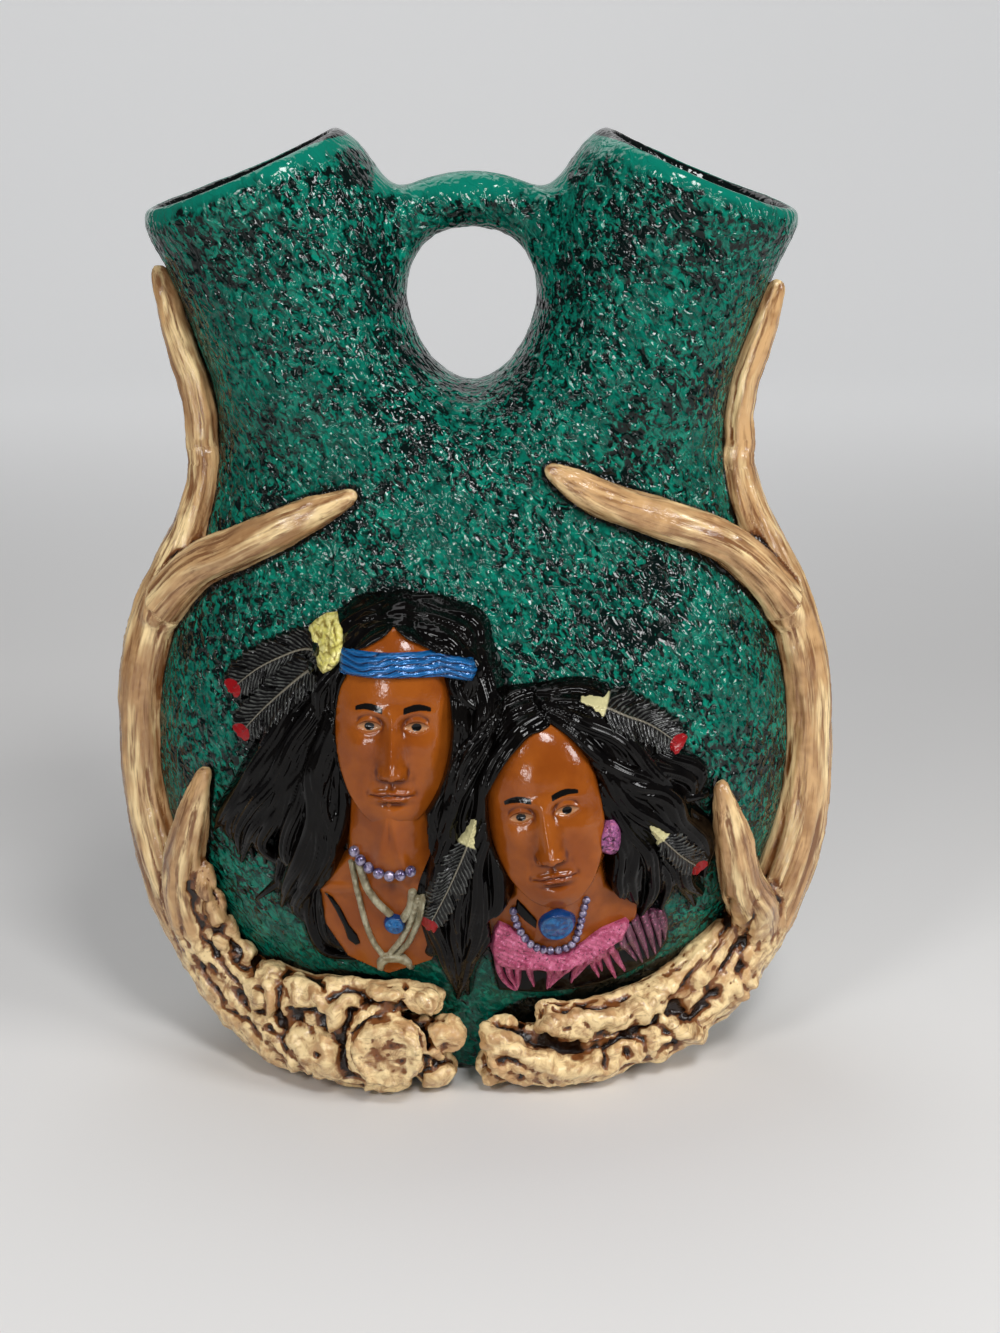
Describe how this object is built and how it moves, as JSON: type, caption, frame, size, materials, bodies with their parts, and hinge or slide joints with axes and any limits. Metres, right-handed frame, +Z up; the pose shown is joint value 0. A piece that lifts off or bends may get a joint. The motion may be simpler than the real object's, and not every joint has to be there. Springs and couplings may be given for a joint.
{
  "type": "ceramic double-spouted vessel",
  "caption": "Double-spouted ceramic wedding vase with a bridge handle, framed by two antlers and carrying two relief busts with feathers, beads and a fringed collar on its front.",
  "frame": {"origin": "centre of the flat underside of the foot, on the surface the vase stands on", "axes": "+Z up out of the mouths, -Y out of the decorated front, +X towards the right-hand spout as seen from the front"},
  "size_m": [0.2402, 0.1373, 0.304],
  "materials": {
    "green_glaze": "gloss",
    "antler_ivory": "gloss",
    "skin_brown": "gloss",
    "hair_black": "gloss",
    "band_blue": "gloss",
    "tuft_yellow": "matte",
    "feather_grey": "gloss",
    "bead_violet": "gloss",
    "thong_grey": "gloss",
    "disc_blue": "gloss",
    "cloth_pink": "gloss"
  },
  "bodies": {
    "root": {"vessel_body": "green_glaze", "bridge_handle": "green_glaze", "left_antler": "antler_ivory", "right_antler": "antler_ivory", "left_face": "skin_brown", "left_neck_and_chest": "skin_brown", "left_hair": "hair_black", "left_headband": "band_blue", "left_rosette": "tuft_yellow", "left_upper_feather": "feather_grey", "left_lower_feather": "feather_grey", "left_bead_choker": "bead_violet", "left_pendant_thong": "thong_grey", "left_pendant": "disc_blue", "left_clasp_thong": "thong_grey", "left_clasp": "thong_grey", "right_face": "skin_brown", "right_neck_and_chest": "skin_brown", "right_hair": "hair_black", "right_top_feather": "feather_grey", "right_side_feather": "feather_grey", "shoulder_feather": "feather_grey", "right_earring": "cloth_pink", "right_collar": "cloth_pink", "right_bead_string": "bead_violet", "right_medallion": "disc_blue"}
  },
  "joints": []
}
